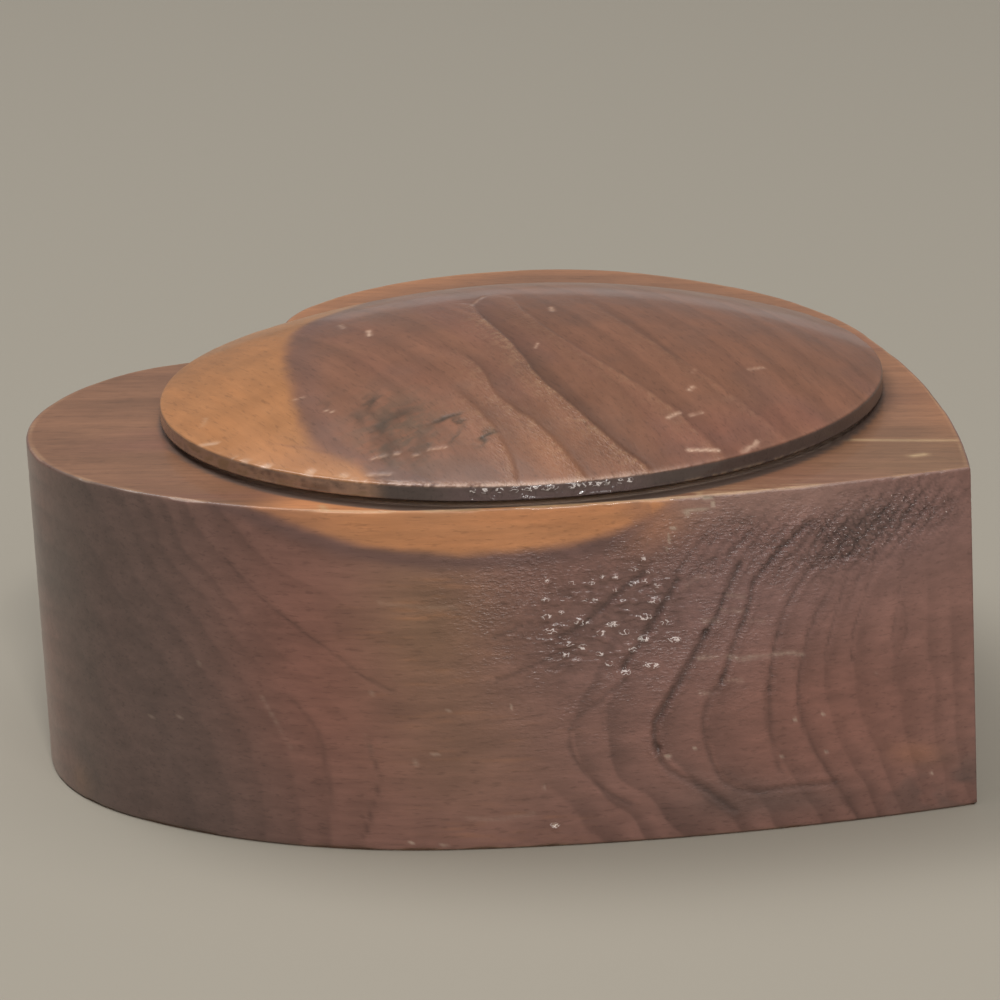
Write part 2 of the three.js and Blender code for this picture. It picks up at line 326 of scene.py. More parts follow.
def linear(colour):
    """Colour as the eye sees it to the light that Blender mixes."""
    colour = np.asarray(colour, float)
    return np.where(colour <= 0.04045, colour / 12.92, ((colour + 0.055) / 1.055) ** 2.4)


def soft_noise(x, y, z=0, seed=1):
    """Smooth random values from 0 to 1, with one random value at each whole place."""
    table = np.random.default_rng(seed).random((LATTICE, LATTICE, LATTICE))
    places = np.broadcast_arrays(x, y, z)
    low = [np.floor(p).astype(int) for p in places]
    part = [p - f for p, f in zip(places, low)]
    part = [p * p * (3 - 2 * p) for p in part]
    total = 0
    for corner in range(8):
        steps = (corner & 1, corner >> 1 & 1, corner >> 2)
        weight = 1
        for share, step in zip(part, steps):
            weight = weight * (share if step else 1 - share)
        total = total + weight * table[tuple((f + s) % LATTICE for f, s in zip(low, steps))]
    return total


def cloudy(x, y, z=0, seed=1, octaves=3):
    """Noise with ever finer detail, from 0 to 1."""
    total, weight, reach = 0, 1, 0
    for octave in range(octaves):
        fine = 2 ** octave
        total = total + weight * soft_noise(x * fine, y * fine, z * fine, seed + octave)
        reach += weight
        weight *= 0.5
    return total / reach


def patchy(x, y, seed, octaves=3):
    return cloudy(x, y, 0.5, seed, octaves)


def cell_lines(x, y, seed, low, high):
    """1 on the lines between cells round points scattered one to a square, fading out beside them."""
    points = np.random.default_rng(seed).random((LATTICE, LATTICE, 2))
    column, row = np.floor(x).astype(int), np.floor(y).astype(int)
    nearest = np.full(np.shape(x), FAR_AWAY)
    second = nearest.copy()
    for i in (-1, 0, 1):
        for j in (-1, 0, 1):
            offset = points[(column + i) % LATTICE, (row + j) % LATTICE]
            distance = np.hypot(column + i + offset[..., 0] - x, row + j + offset[..., 1] - y)
            second = np.minimum(second, np.maximum(nearest, distance))
            nearest = np.minimum(nearest, distance)
    return 1 - ramp(low, high, second - nearest)


def curve_through(places, step=0.4):
    """Points along a smooth curve through a few places."""
    places = np.asarray(places, float)
    chords = np.linalg.norm(np.diff(places, axis=0), axis=1)
    along = np.r_[0, np.cumsum(chords)]
    slopes = slopes_at(places, along)
    count = max(int(along[-1] / step), 2)
    return hermite(along, places, slopes, np.linspace(0, along[-1], count))


def slopes_at(places, along):
    """Slope at each place, weighted to the nearer neighbour."""
    slopes = np.empty_like(places)
    steps = np.diff(along)[:, None]
    rises = np.diff(places, axis=0) / steps
    slopes[1:-1] = (rises[:-1] * steps[1:] + rises[1:] * steps[:-1]) / (steps[1:] + steps[:-1])
    slopes[0] = rises[0] if len(places) < 3 else 2 * rises[0] - slopes[1]
    slopes[-1] = rises[-1] if len(places) < 3 else 2 * rises[-1] - slopes[-2]
    return slopes


def hermite(along, places, slopes, wanted):
    i = np.clip(np.searchsorted(along, wanted, side="right") - 1, 0, len(along) - 2)
    length = along[i + 1] - along[i]
    t = ((wanted - along[i]) / length)[:, None]
    length = length[:, None]
    start = (1 + 2 * t) * (1 - t) ** 2 * places[i] + t * (1 - t) ** 2 * length * slopes[i]
    end = t * t * (3 - 2 * t) * places[i + 1] - t * t * (1 - t) * length * slopes[i + 1]
    return start + end


def distance_to(x, y, places, reach=4):
    """Distance to a smooth curve through places, where that is under the reach."""
    line = curve_through(places)
    low, high = line.min(0) - reach, line.max(0) + reach
    near = (x > low[0]) & (x < high[0]) & (y > low[1]) & (y < high[1])
    found = np.full(np.shape(x), FAR_AWAY)
    gaps = np.hypot(x[near][:, None] - line[:, 0], y[near][:, None] - line[:, 1])
    found[near] = gaps.min(1) if gaps.size else FAR_AWAY
    return found


def side_of(x, y, places):
    """Height above a line that runs from left to right, over its slope."""
    line = curve_through(places, 1)
    level = np.interp(x, line[:, 0], line[:, 1])
    slope = np.gradient(line[:, 1], line[:, 0])
    return (y - level) / np.hypot(1, np.interp(x, line[:, 0], slope))


def thin_plate(numbered_lines, x, y):
    """The smoothest field that has each line's number along that line."""
    places = np.array([p for _, line in numbered_lines for p in line], float)
    values = np.array([number for number, line in numbered_lines for _ in line], float)

    def bend(u, v):
        square = (u[:, None] - places[:, 0]) ** 2 + (v[:, None] - places[:, 1]) ** 2
        return square * np.log(square + 1e-9)

    count = len(places)
    plane = np.c_[np.ones(count), places]
    matrix = np.zeros((count + 3, count + 3))
    matrix[:count, :count] = bend(places[:, 0], places[:, 1]) + 4 * np.eye(count)
    matrix[:count, count:] = plane
    matrix[count:, :count] = plane.T
    weights = np.linalg.solve(matrix, np.r_[values, np.zeros(3)])
    flat_x, flat_y = np.ravel(x), np.ravel(y)
    field = bend(flat_x, flat_y) @ weights[:count]
    field += weights[count] + weights[count + 1] * flat_x + weights[count + 2] * flat_y
    return field.reshape(np.shape(x))


def turned(x, y, turn):
    """How far a place lies along a direction in degrees, and across it."""
    c, s = math.cos(math.radians(turn)), math.sin(math.radians(turn))
    return x * c + y * s, y * c - x * s


def spot(x, y, place_x, place_y, half_length, half_height, turn=0):
    """Soft oval patch: 1 at its middle, fading out past its half sizes."""
    u, v = turned(x - place_x, y - place_y, turn)
    u, v = u / half_length, v / half_height
    return np.exp(-(u * u + v * v))


def spots(x, y, *rows):
    """Sum of soft patches, each with its strength first."""
    return sum(strength * spot(x, y, *place) for strength, *place in rows)


class Surface:
    """What is known of each corner of a mesh: its colour, relief and finish."""

    FIELDS = ("depth", "rough", "crackle", "blister", "bead")
    ALL = ("colour", *FIELDS)

    def __init__(self, shape, colour):
        self.colour = np.broadcast_to(np.asarray(colour, float), shape + (3,)).copy()
        for name in self.FIELDS:
            setattr(self, name, np.zeros(shape))

    def paint(self, colour, share):
        self.colour = mix(self.colour, colour, np.clip(share, 0, 1))

    def paint_spots(self, x, y, rows):
        """Paints soft patches: a colour, then each patch's strength, place, half sizes and turn."""
        for colour, *patches in rows:
            self.paint(colour, spots(x, y, *patches))

    def shade(self, factor):
        self.colour = self.colour * np.asarray(factor)[..., None]

    def cut(self, depth, shade, where):
        """Sinks the surface and darkens it at the same places."""
        self.depth += depth * where
        self.shade(1 - shade * where)

    def take(self, part, where, share=1):
        """Takes over a surface that is known at some corners only, by a share at each."""
        share = np.broadcast_to(share, part.depth.shape)
        for name in self.ALL:
            values = getattr(self, name)
            part_share = share[..., None] if name == "colour" else share
            values[where] = values[where] * (1 - part_share) + getattr(part, name) * part_share


# The block's outline and its mesh


def heart_outline():
    """Both sides of the heart from its point to its notch, as smooth curves through the solid's corners."""
    corners = np.array([v.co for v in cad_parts[BODY].data.vertices]) / MM
    low_side = corners[np.abs(corners[:, 2] - ARRIS_WEAR) < 0.02]
    plan = np.unique(low_side[:, :2].round(3), axis=0)
    middle = plan[np.abs(plan[:, 0]) < 0.01]
    point, notch = middle[middle[:, 1].argmin()], middle[middle[:, 1].argmax()]
    sides = []
    for sign in (-1, 1):
        side = plan[plan[:, 0] * sign > 0.01]
        order = np.argsort(np.arctan2(side[:, 0] * sign, -side[:, 1]))
        sides.append(np.vstack([point, side[order], notch]))
    return sides


def lid_circle():
    """Centre and radius of the lid, in millimetres."""
    low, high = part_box(LID)
    return np.array([(low.x + high.x) / 2, (low.y + high.y) / 2]) / MM, (high.x - low.x) / 2 / MM


def walk(side, detail):
    """Places and outward directions along one side, at the spacing that the detail gives."""
    chords = np.linalg.norm(np.diff(side, axis=0), axis=1)
    along = np.r_[0, np.cumsum(chords)]
    slopes = slopes_at(side, along)
    stops = [0]
    for end, spacing in detail:
        end = along[-1] if end is None else end
        count = max(round((end - stops[-1]) / spacing), 1)
        stops.extend(np.linspace(stops[-1], end, count + 1)[1:])
    stops = np.array(stops)
    places = hermite(along, side, slopes, stops)
    ahead = hermite(along, side, slopes, np.minimum(stops + 0.02, along[-1]))
    behind = hermite(along, side, slopes, np.maximum(stops - 0.02, 0))
    way = (ahead - behind) / np.linalg.norm(ahead - behind, axis=1)[:, None]
    return stops, places, way


class Block:
    """Mesh grid of the heart block: one column for each place round the outline."""

    def __init__(self):
        low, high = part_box(BODY)
        self.height = (high.z - low.z) / MM
        self.centre, lid_radius = lid_circle()
        self.cavity = lid_radius - LID_LEDGE
        sides = []
        for side, detail, sign in zip(heart_outline(), (NEAR_DETAIL, FAR_DETAIL), (-1, 1)):
            along, places, way = walk(side, detail)
            sides.append((along, places, np.c_[way[:, 1], -way[:, 0]] * sign))
        (near_along, near_places, near_out), (far_along, far_places, far_out) = sides
        point_out = corner_way(near_out[0], far_out[0])
        for distance, out in ((near_along, near_out), (far_along, far_out)):
            share = np.clip(distance / POINT_TURN, 0, 1)[:, None]
            out[:] = point_out * (1 - share) + out * share
        notch_out = corner_way(near_out[-1], far_out[-1])
        self.along = np.r_[near_along, far_along[-2:0:-1]]
        self.is_near = np.r_[np.ones(len(near_along), bool), np.zeros(len(far_along) - 2, bool)]
        self.places = np.vstack([near_places, far_places[-2:0:-1]])
        self.out = np.vstack([point_out, near_out[1:-1], notch_out, far_out[-2:0:-1]])
        self.rows = []
        self.kinds = []

    def add_row(self, kind, plan, height, outward):
        columns = len(self.along)
        corners = np.c_[np.broadcast_to(plan, (columns, 2)), np.full(columns, float(height))]
        self.rows.append((corners, np.broadcast_to(outward, (columns, 3))))
        self.kinds.append(kind)

    def build_rows(self):
        """Rows from the underside's middle round the outside to the cavity's middle."""
        flat_out = np.c_[self.out, np.zeros(len(self.out))]
        down, up = np.array([0, 0, -1]), np.array([0, 0, 1])
        inset = self.places - ARRIS_WEAR * self.out
        for share in np.linspace(0.25, 1, FLOOR_ROWS):
            self.add_row("base", inset * share, 0, down)
        for i in range(1, ARRIS_ROWS):
            angle = math.pi / 2 * i / ARRIS_ROWS
            plan = inset + ARRIS_WEAR * math.sin(angle) * self.out
            way = flat_out * math.sin(angle) + down * math.cos(angle)
            self.add_row("wall", plan, ARRIS_WEAR * (1 - math.cos(angle)), way)
        top = self.height - ARRIS_WEAR
        for height in np.linspace(ARRIS_WEAR, top, round((top - ARRIS_WEAR) / WALL_STEP)):
            self.add_row("wall", self.places, height, flat_out)
        for i in range(1, ARRIS_ROWS):
            angle = math.pi / 2 * i / ARRIS_ROWS
            plan = inset + ARRIS_WEAR * math.cos(angle) * self.out
            way = flat_out * math.cos(angle) + up * math.sin(angle)
            self.add_row("wall", plan, top + ARRIS_WEAR * math.sin(angle), way)
        self.build_top(inset, up)
        self.build_cavity()

    def build_top(self, inset, up):
        ray = self.places - self.centre
        self.ray = ray / np.linalg.norm(ray, axis=1)[:, None]
        mouth = self.centre + (self.cavity + CAVITY_MOUTH_CHAMFER) * self.ray
        for i in range(TOP_ROWS + 1):
            share = (i / TOP_ROWS) ** TOP_ROW_SPREAD
            self.add_row("top", inset * (1 - share) + mouth * share, self.height, up)

    def build_cavity(self):
        inward = np.c_[-self.ray, np.zeros(len(self.ray))]
        up = np.array([0, 0, 1])
        low = CAVITY_FLOOR + CAVITY_FLOOR_ROUND
        high = self.height - CAVITY_MOUTH_CHAMFER
        for height in np.linspace(high, low, CAVITY_WALL_ROWS):
            self.add_row("cavity", self.centre + self.cavity * self.ray, height, inward)
        bend_radius = self.cavity - CAVITY_FLOOR_ROUND
        for i in range(1, CAVITY_ROUND_ROWS + 1):
            angle = math.pi / 2 * i / CAVITY_ROUND_ROWS
            radius = bend_radius + CAVITY_FLOOR_ROUND * math.cos(angle)
            height = low - CAVITY_FLOOR_ROUND * math.sin(angle)
            way = inward * math.cos(angle) + up * math.sin(angle)
            self.add_row("cavity", self.centre + radius * self.ray, height, way)
        for share in np.linspace(1, 0, FLOOR_ROWS + 1)[1:-1]:
            self.add_row("cavity", self.centre + bend_radius * share * self.ray, CAVITY_FLOOR, up)

    def grid(self):
        corners, outward = (np.array(part) for part in zip(*self.rows))
        return corners, outward, np.array(self.kinds)


def corner_way(first, second):
    """Outward direction at a corner, long enough that both sides move out by one."""
    return (first + second) / (1 + first @ second)


# How the timber grew


def tree_rings(x, y, z, fibre, seed):
    """Growth ring number at a place, and how far along and across the fibres it lies."""
    along, across = turned(x, y, fibre)
    sway = 5 * (cloudy(along / 60, across / 30, z / 30, seed) - 0.5)
    rings = np.hypot(across - PITH_ACROSS + sway, 1.2 * (z - PITH_HEIGHT)) / RING_WIDTH
    return rings + 0.5 * cloudy(along / 25, across / 9, z / 9, seed + 7), along, across


def ring_shade(rings, strength):
    """Wood darkens slowly through each ring and jumps back at its end."""
    share = rings - np.floor(rings)
    late = share ** 2 * (1 - ramp(0.8, 1, share))
    return 1 - strength * late


def plain_wood(x, y, z, colour, seed=31):
    """The sides that the photograph doesn't show."""
    look = Surface(np.shape(x), colour)
    rings, along, across = tree_rings(x, y, z, BLOCK_FIBRE, seed)
    look.shade(ring_shade(rings, 0.22))
    patches = cloudy(along / 40, across / 16, z / 16, seed + 3)
    look.paint(HEART_RED, 0.6 * ramp(0.5, 0.75, patches))
    look.paint(HEART_DARK, 0.5 * ramp(0.52, 0.8, 1 - patches))
    share = rings - np.floor(rings)
    look.depth += 0.03 * hump(share - 0.85, 0.12)
    look.rough += 0.4 + 0.25 * cloudy(along / 8, across / 4, z / 4, seed + 5)
    return look


# The near wall, place by place


def near_wall(along, z):
    look = Surface(np.shape(along), HEARTWOOD)
    rings = thin_plate(NEAR_GROWTH, along, z)
    paint_heartwood(look, along, z, rings)
    raise_rings(look, along, z, rings)
    crackle_varnish(look, along, z)
    sapwood_band(look, along, z)
    open_cracks(look, along, z)
    set_beads(look, along, z)
    mark_wall(look, along, z)
    return look


def paint_heartwood(look, along, z, rings):
    wobble = rings + 0.35 * (patchy(along / 7, z / 5, 41) - 0.5)
    share = wobble - np.floor(wobble)
    late = ramp(0.25, 0.9, share) * (1 - ramp(0.9, 1, share))
    clear = ramp(64, 50, along) * ramp(36, 22, z) + ramp(82, 88, along)
    clear = clear * (0.45 + 0.8 * patchy(along / 8, z / 12, 46)) * (0.35 + 0.65 * ramp(3, 18, along))
    look.shade(1 - (0.03 + 0.17 * clear) * late)
    look.paint_spots(along, z, (
        (HEART_MAUVE, (0.8, 34, 34, 22, 12, -15), (0.5, 8, 42, 12, 7)),
        (HEART_RED, (0.8, 92, 22, 16, 22)),
        (HEART_RED, (0.55, 20, 16, 18, 12)),
        (OLIVE_WOOD, (0.62, 74, 33, 10, 12), (0.3, 70, 14, 12, 10)),
    ))
    streaks = patchy(along / 9, z / 0.55, 43)
    bands = spots(along, z, (1, 74, 32, 10, 11), (1, 65, 4, 9, 3), (0.4, 68, 14, 12, 9))
    look.paint(SAPWOOD, 0.34 * ramp(0.54, 0.8, streaks) * np.clip(bands, 0, 1))
    look.paint(HEART_DARK, 0.62 * ramp(0.42, 0.62, patchy(along / 5, z / 3, 44)) * spot(along, z, 3, 3, 9, 5))
    look.paint_spots(along, z, (
        (HEART_DARK, (0.5, 27, 4.2, 8, 2.2, 3), (0.35, 37, 5.5, 6, 4, 3)),
        (SAPWOOD, (0.22, 8.5, 8.6, 4, 1.6, 12)),
        (HEART_DARK, (0.15, 51, 32, 11, 6, -35)),
        (HEART_DARK, (0.3, 15, 41.5, 8, 3, -25)),
    ))
    # Darker towards the wall's far left end, which turns away from the light: partly darker heartwood, partly
    # painted shade; the last stretch gets grey painted shade
    look.paint(HEART_DARK, 0.75 * ramp(84, 118, along + 0.3 * (24 - z)))
    look.paint(PAINTED_SHADE_GREY, 0.7 * ramp(121, 140, along))
    look.paint(OLIVE_WOOD, 0.6 * spot(along, z, 133, 2.6, 3, 2.4))
    look.shade(0.9 + 0.2 * patchy(along / 6, z / 3, 45, 4))


def raise_rings(look, along, z, rings):
    ridged = ramp(66, 40, along) * ramp(46, 34, z) * (0.4 + 0.6 * ramp(3, 18, along))
    look.depth += 0.025 * ridged * (0.5 - 0.5 * np.cos(2 * math.pi * rings))
    look.depth += 0.05 * (patchy(along / 9, z / 7, 51) - 0.5)


def crackle_zones(along, z):
    """How strongly the varnish is crazed, blistered and rough at each place."""
    crazed = spots(along, z, (1, 15, 41, 9, 4.5, -20), (0.6, 30, 41, 9, 5), (0.5, 6, 43, 5, 4))
    blistered = spot(along, z, 50, 32, 10.5, 7.5, -25)
    rough = spots(along, z, (1, 46, 33, 22, 14, -15), (0.5, 62, 37, 8, 7))
    return np.clip(crazed, 0, 1), blistered, np.clip(rough, 0, 1)


def crackle_varnish(look, along, z):
    crazed, blistered, rough = crackle_zones(along, z)
    u = (along + 0.55 * z) / 0.75
    v = (z - 0.35 * along) / 0.95
    gap = cell_lines(u + 0.4 * patchy(along, z, 61), v, 62, 0.02, 0.3)
    look.cut(0.24, 0.24, crazed * gap)
    fold = (along + 0.9 * z) / 2.1 + 0.9 * patchy(along / 4, z / 4, 68)
    # Painted glints in patches beside the fold lines of the crazed varnish
    glints = ramp(0.45, 0.65, patchy(along / 0.9, z / 0.7, 69))
    beside = hump(fold - np.round(fold) - 0.22, 0.1) * glints
    look.bead = np.maximum(look.bead, 0.66 * beside * ramp(0.15, 0.5, crazed))
    fold = hump(fold - np.round(fold), 0.13) * crazed
    look.cut(0.2, 0.28, fold)
    look.depth += 0.2 * blistered
    wavy = 0.6 * patchy(along / 2.5, z / 2, 63)
    gap = cell_lines(along / 2.3 + wavy, z / 1.25 + wavy, 64, 0.04, 0.55)
    look.cut(0.1, 0.1, blistered * gap)
    gap = cell_lines(along / 1.3, z / 0.8, 65, 0, 0.4)
    look.depth += 0.12 * rough * gap * patchy(along / 3, z / 2, 66)
    look.shade(1 - 0.08 * rough * gap)
    patches = 0.35 + 0.9 * ramp(0.35, 0.65, patchy(along / 4, z / 2.5, 67))
    look.crackle += np.clip(crazed + rough, 0, 1) * patches * (1 - 0.9 * blistered)
    look.rough += 0.45 - 0.4 * crazed - 0.42 * blistered
    look.blister += ramp(0.12, 0.55, blistered)


def sapwood_band(look, along, z):
    height = side_of(along, z, SAPWOOD_EDGE)
    height = height + 0.9 * (patchy(along / 3, z / 1.2, 71, 4) - 0.5)
    inside = (along > 38) & (along < 104)
    tone = mix(SAPWOOD, OLIVE_WOOD, 0.35 * patchy(along / 12, z, 72))
    crackle = look.crackle.copy()
    share = ramp(-0.7, 0.9, height) * inside
    thinner = ramp(50, 41, along)
    share = share * (1 - 0.7 * thinner * ramp(0.3, 0.6, cloudy(along / 2, z / 2, 0, 73)))
    share = share * (1 - 0.3 * ramp(80, 94, along))
    look.paint(SAPWOOD, 0.38 * spot(along, z, 43, 44.5, 5, 3.2, -20))
    look.paint(CRUMB_AND_GLINT_PALE, 0.2 * ramp(41.5, 46.5, z) * ramp(44, 38, along) * ramp(8, 22, along))
    look.paint(SAP_EDGE, 0.75 * hump(height + 1.1, 1.1) * inside * (1 - thinner))
    look.paint(tone, share)
    look.crackle = crackle * (1 - 0.8 * share)


def open_cracks(look, along, z):
    ragged_u = along + 0.55 * (patchy(along / 1.1, z / 1.1, 81) - 0.5)
    ragged_v = z + 0.55 * (patchy(along / 1.1, z / 1.1, 82) - 0.5)
    strength = 0.35 + 1.1 * patchy(along / 2.2, z / 2.2, 83)
    for depth, half_width, darkness, places in NEAR_CRACKS:
        gap = distance_to(ragged_u, ragged_v, places)
        line = hump(gap, 0.85 * half_width)
        look.depth += 0.8 * depth * strength * line - 0.35 * depth * hump(gap - 0.9, 0.4)
        look.shade(1 - 0.5 * darkness * np.clip(strength, 0, 1) * line)
        look.crackle = np.maximum(look.crackle, 1.6 * depth * hump(gap, 2))


def set_beads(look, along, z):
    for place, height, half_length in BEADS:
        bead = spot(along, z, place, height - 0.1, half_length, 0.5)
        look.depth += 0.12 * spot(along, z, place, height - 0.2, half_length + 1.2, 1.3) - 0.26 * bead
        strength = 1 if height < 33 else 0.72
        # Painted glint over each bead, made white in the material
        look.bead = np.maximum(look.bead, strength * spot(along, z, place, height, half_length + 0.25, 0.45))
        look.crackle = look.crackle * (1 - 0.8 * bead)
        look.rough = look.rough * (1 - 0.9 * spot(along, z, place, height, half_length * 1.3, 0.7))


def mark_wall(look, along, z):
    # Pale checks and scratches, partly painted glints along fine steps
    for half_width, strength, places in NEAR_PALE:
        line = hump(distance_to(along, z + 0.5 * (patchy(along / 1.6, 0, 93) - 0.5), places), half_width)
        line = line * ramp(0.2, 0.6, patchy(along / 2.4, z / 1.2, 92))
        look.paint(CHIP_AND_GLINT_PALE, 0.8 * strength * line)
        look.depth += 0.05 * line
    # Pale specks and chips, some of them painted glints
    for place, height, half_length, half_height, strength in SPECKS:
        speck = spot(along, z, place, height, half_length, half_height)
        speck = ramp(0.25, 0.8, speck * (0.65 + 0.7 * patchy(along / 0.7, z / 0.7, 91)))
        look.paint(CHIP_AND_GLINT_PALE, strength * speck)
        look.depth += 0.12 * strength * speck


# Edges, top and cavity


def wear_edges(look, block, kinds, places, along):
    """Pale wood where the upper and lower edges have rubbed through, with small dents."""
    height = places[..., 2]
    side = block.is_near[None, :]
    edge = np.maximum(hump(block.height - height, 0.32), hump(height, 0.36)) * (kinds == "wall")[:, None]
    outer = (kinds == "top")[:, None] & (row_number(kinds, "top")[:, None] < 2)
    nibbled = cloudy(along / 4.5, height / 1.5, side * 3, 101, 4)
    rubbed = (0.35 + 0.65 * ramp(0.4, 0.62, nibbled)) * np.where(height > block.height / 2, 0.85, 0.7)
    strong = 0.45 + 0.4 * side * spot(along, 0, 55, 0, 30, 1)
    look.paint(WORN_WOOD, (edge + 0.7 * outer) * rubbed * strong)
    look.depth += 0.22 * edge * ramp(0.5, 0.75, nibbled)
    look.rough += 0.8 * np.clip(edge + outer, 0, 1)


def row_number(kinds, kind):
    return np.where(kinds == kind, np.cumsum(kinds == kind) - 1, 10 ** 6)


def top_face(x, y, z, along, is_near, edge_gap, rim_gap, facing):
    look = Surface(np.shape(x), TOP_WOOD)
    rings, grain, across = tree_rings(x, y, z, BLOCK_FIBRE, 31)
    look.shade(ring_shade(rings, 0.14))
    patches = patchy(grain / 45, across / 10, 111)
    look.paint(HEART_RED, 0.45 * ramp(0.45, 0.75, patches))
    look.paint(OLIVE_WOOD, 0.55 * spot(x, y, 0, -62, 16, 14))
    look.shade(0.94 + 0.12 * patchy(grain / 22, across / 0.9, 112))
    near_edge = np.where(is_near, along, -1)
    sap = spot(near_edge, 0, 74, 0, 24, 1) * (near_edge > 0)
    look.paint(SAPWOOD, 0.9 * ramp(0.25, 0.6, sap))
    scraped = ramp(0.5, 0.68, patchy(grain / 9, across / 0.45, 116))
    scraped = scraped * ramp(7, 1, edge_gap)
    look.paint(WORN_WOOD, 0.4 * scraped * spot(near_edge, 0, 32, 0, 15, 1) * (near_edge > 0))
    for half_width, strength, places in TOP_MARKS:
        look.paint(WORN_WOOD, strength * hump(distance_to(x, y, places), half_width))
    look.rough += 0.45 + 0.2 * patchy(x / 6, y / 6, 113)
    last = along.max()
    far_share = np.where(is_near, 0, between(2, 25, last - 15, last, along))
    look.paint(SAPWOOD, far_share * (0.28 * hump(edge_gap, 5) + 0.22 * ramp(46, 58, y)))
    look.depth += 0.04 * patchy(x / 9, y / 9, 114)
    # Painted shadow: the top just outside the lid's rim is painted dark, widest at the front, and inside the
    # gap under the rim it is painted pale as painted light
    reach = 0.1 + 1.3 * np.clip(facing, 0, 1) ** 2 + 0.4 * (patchy(x / 5, y / 5, 115) - 0.5)
    painted_rim_shade_and_light = ramp(0.35, -0.35, rim_gap - reach) * ramp(-6, -4, rim_gap)
    look.paint(mix(PAINTED_RIM_SHADOW, PAINTED_GAP_LIGHT, ramp(-0.8, -2, rim_gap)), 0.92 * painted_rim_shade_and_light)
    look.rough += 0.4 * painted_rim_shade_and_light
    return look


def block_surface(block, places, kinds):
    x, y, z = places[..., 0], places[..., 1], places[..., 2]
    along = np.broadcast_to(block.along, x.shape)
    side = np.broadcast_to(block.is_near, x.shape)
    look = plain_wood(x, y, z, HEARTWOOD)
    near = (kinds == "wall")[:, None] & side & (along < SHOWN_END)
    look.take(near_wall(along[near], z[near]), near, ramp(*SHOWN_FADE, along[near]))
    top = np.broadcast_to((kinds == "top")[:, None], x.shape)
    edge_gap = np.hypot(*(np.moveaxis(places[..., :2] - block.places, -1, 0)))
    from_lid = places[..., :2] - block.centre
    radius = np.hypot(from_lid[..., 0], from_lid[..., 1])
    rim_gap = radius - block.cavity - LID_LEDGE
    facing = -(from_lid[..., 0] + from_lid[..., 1]) / (math.sqrt(2) * np.maximum(radius, 1))
    look.take(top_face(*(values[top] for values in (x, y, z, along, side, edge_gap, rim_gap, facing))), top)
    inside = np.broadcast_to((kinds == "cavity")[:, None], x.shape)
    look.take(plain_wood(x[inside], y[inside], z[inside], CAVITY_WOOD, 33), inside)
    wear_edges(look, block, kinds, places, along)
    look.rough[np.isin(kinds, ("cavity", "base"))] += 0.3
    return look


# Meshes


def ring_faces(rows, columns):
    """Faces of rows that close round on themselves, with a fan at each end."""
    first = np.arange(columns)
    after = (first + 1) % columns
    last_pole = rows * columns + 1
    quads = []
    for row in range(rows - 1):
        low, high = 1 + row * columns, 1 + (row + 1) * columns
        quads.append(np.c_[low + first, low + after, high + after, high + first])
    start = np.c_[np.zeros(columns, int), 1 + after, 1 + first]
    end_row = 1 + (rows - 1) * columns
    end = np.c_[end_row + first, end_row + after, np.full(columns, last_pole)]
    return np.vstack(quads).tolist() + start.tolist() + end.tolist()


def with_poles(look):
    """Adds a corner at each end of the grid, of the same look as the row beside it."""
    whole = Surface((look.depth.size + 2,), HEARTWOOD)
    for name in Surface.ALL:
        values = getattr(look, name)
        flat = values.reshape(-1, *values.shape[2:])
        setattr(whole, name, np.concatenate([[values[0].mean(0)], flat, [values[-1].mean(0)]]))
    return whole


def make_piece(name, grid, poles, look):
    """Closed mesh: rows of corners that run round, with one more corner at each end."""
    look = with_poles(look)
    corners = np.vstack([poles[:1], grid.reshape(-1, 3), poles[1:]])
    mesh = bpy.data.meshes.new(name)
    mesh.from_pydata((corners * MM).tolist(), [], ring_faces(*grid.shape[:2]))
    mesh.shade_smooth()
    tone = mesh.color_attributes.new("wood_tone", "FLOAT_COLOR", "POINT")
    colour = np.c_[linear(np.clip(look.colour, 0, 1)), np.ones(len(corners))]
    tone.data.foreach_set("color", colour.ravel())
    for field in ("rough", "crackle", "blister", "bead"):
        values = mesh.attributes.new("wood_" + field, "FLOAT", "POINT")
        values.data.foreach_set("value", np.clip(getattr(look, field), 0, 1))
    mesh.validate()
    piece = bpy.data.objects.new(name, mesh)
    bpy.context.scene.collection.objects.link(piece)
    return piece


def make_block():
    block = Block()
    block.build_rows()
    places, outward, kinds = block.grid()
    look = block_surface(block, places, kinds)
    relief = np.clip(look.depth + SKIN, 0, DEEPEST)
    relief[np.isin(kinds, ("base", "cavity"))] = 0
    fade = np.where(kinds == "top", np.minimum(TOP_ROWS - row_number(kinds, "top"), 4) / 4, 1)
    relief = relief * np.clip(fade, 0, 1)[:, None]
    poles = np.array([[0, 0, 0], [*block.centre, CAVITY_FLOOR]])
    return make_piece("heart_block", places - outward * relief[..., None], poles, look)


# The lid


